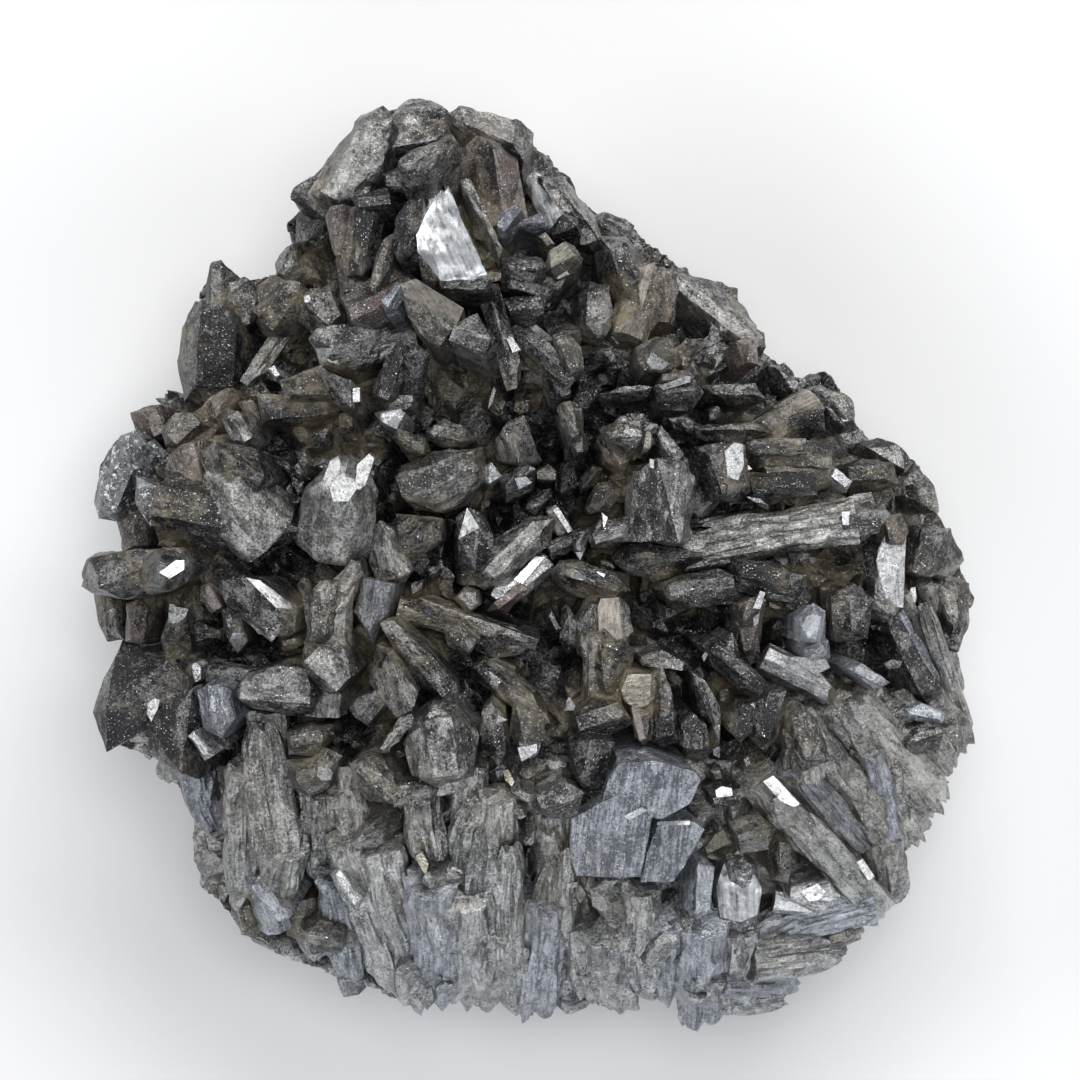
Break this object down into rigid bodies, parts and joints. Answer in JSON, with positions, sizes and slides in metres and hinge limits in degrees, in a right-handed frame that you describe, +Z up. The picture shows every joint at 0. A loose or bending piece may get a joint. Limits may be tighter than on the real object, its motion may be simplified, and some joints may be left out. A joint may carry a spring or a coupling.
{
  "type": "stibnite crystal spray",
  "caption": "Hand-sized cluster of stubby, faceted metallic grey crystals and fibrous blades on a broken intergrown mass, lying on its flat back.",
  "frame": {"origin": "on the surface it lies on, under the middle of the specimen's box", "axes": "+Z up, away from the surface and towards a viewer who looks down on the crystals; +Y towards the narrow knob; +X to the right of the knob as seen from above"},
  "size_m": [0.0904, 0.0926, 0.0408],
  "materials": {
    "grey_fibres": "fibrous metallic sulphide, matt to silky",
    "dark_crystal": "dusty near-black metallic, striated",
    "blue_grey_cleavage": "silky blue-grey cleavage",
    "bright_cleavage": "bright silver cleavage",
    "warm_bright_facet": "metallic with a warm reflection",
    "brown_tarnish": "brown to reddish tarnish",
    "speckled_crust": "pale speckled broken sulphide"
  },
  "bodies": {
    "root": {"big_white_facet_crystal": "bright_cleavage", "blue_fan_blades": "blue_grey_cleavage", "blue_hexagon_crystal": "blue_grey_cleavage", "bluish_facet_crystal": "blue_grey_cleavage", "bottom_left_column": "grey_fibres", "bottom_right_column": "grey_fibres", "bright_facet_prism": "warm_bright_facet", "bright_tip_crystal": "bright_cleavage", "crossing_upper_prism": "dark_crystal", "diagonal_rod": "grey_fibres", "egg_crystal": "dark_crystal", "fibrous_trunk": "grey_fibres", "gold_facet_host": "warm_bright_facet", "gold_hexagon_stub": "warm_bright_facet", "gold_purple_prism": "warm_bright_facet", "hollow_upright_prism": "dark_crystal", "intergrown_mass": "grey_fibres", "knob_brown_blade": "brown_tarnish", "knob_gold_stub": "warm_bright_facet", "knob_red_crystal": "brown_tarnish", "knob_second_silver_blade": "bright_cleavage", "knob_silver_blade": "bright_cleavage", "lead_upright_prism": "dark_crystal", "leaf_crystal": "dark_crystal", "left_arm_crystal": "dark_crystal", "left_big_crystal": "grey_fibres", "left_blue_blade": "blue_grey_cleavage", "left_large_prism": "dark_crystal", "left_lying_crystal": "dark_crystal", "left_middle_block": "dark_crystal", "left_second_big_crystal": "grey_fibres", "left_upright_crystal": "grey_fibres", "light_blade_column": "grey_fibres", "lilac_facet_crystal": "grey_fibres", "long_middle_crystal": "dark_crystal", "long_upper_prism": "dark_crystal", "lower_dark_block": "dark_crystal", "lower_fibrous_trunk": "grey_fibres", "lower_left_stub": "dark_crystal", "lower_prism": "blue_grey_cleavage", "lying_hexagon_crystal": "dark_crystal", "red_brown_crystal": "brown_tarnish", "right_fan_block": "grey_fibres", "right_lying_block": "dark_crystal", "right_outer_blade": "grey_fibres", "right_rim_crystal": "bright_cleavage", "right_stepped_crystal": "warm_bright_facet", "rough_shelf_crystal": "grey_fibres", "shelf_diagonal_prism": "dark_crystal", "shelf_upright_crystal": "dark_crystal", "shoulder_bright_crystal": "warm_bright_facet", "slope_bright_prism": "grey_fibres", "speckled_column": "speckled_crust", "speckled_plate": "speckled_crust", "thin_middle_prism": "dark_crystal", "white_facet_column": "dark_crystal", "white_facet_crystal": "dark_crystal", "white_facet_prism": "bright_cleavage"}
  },
  "joints": []
}
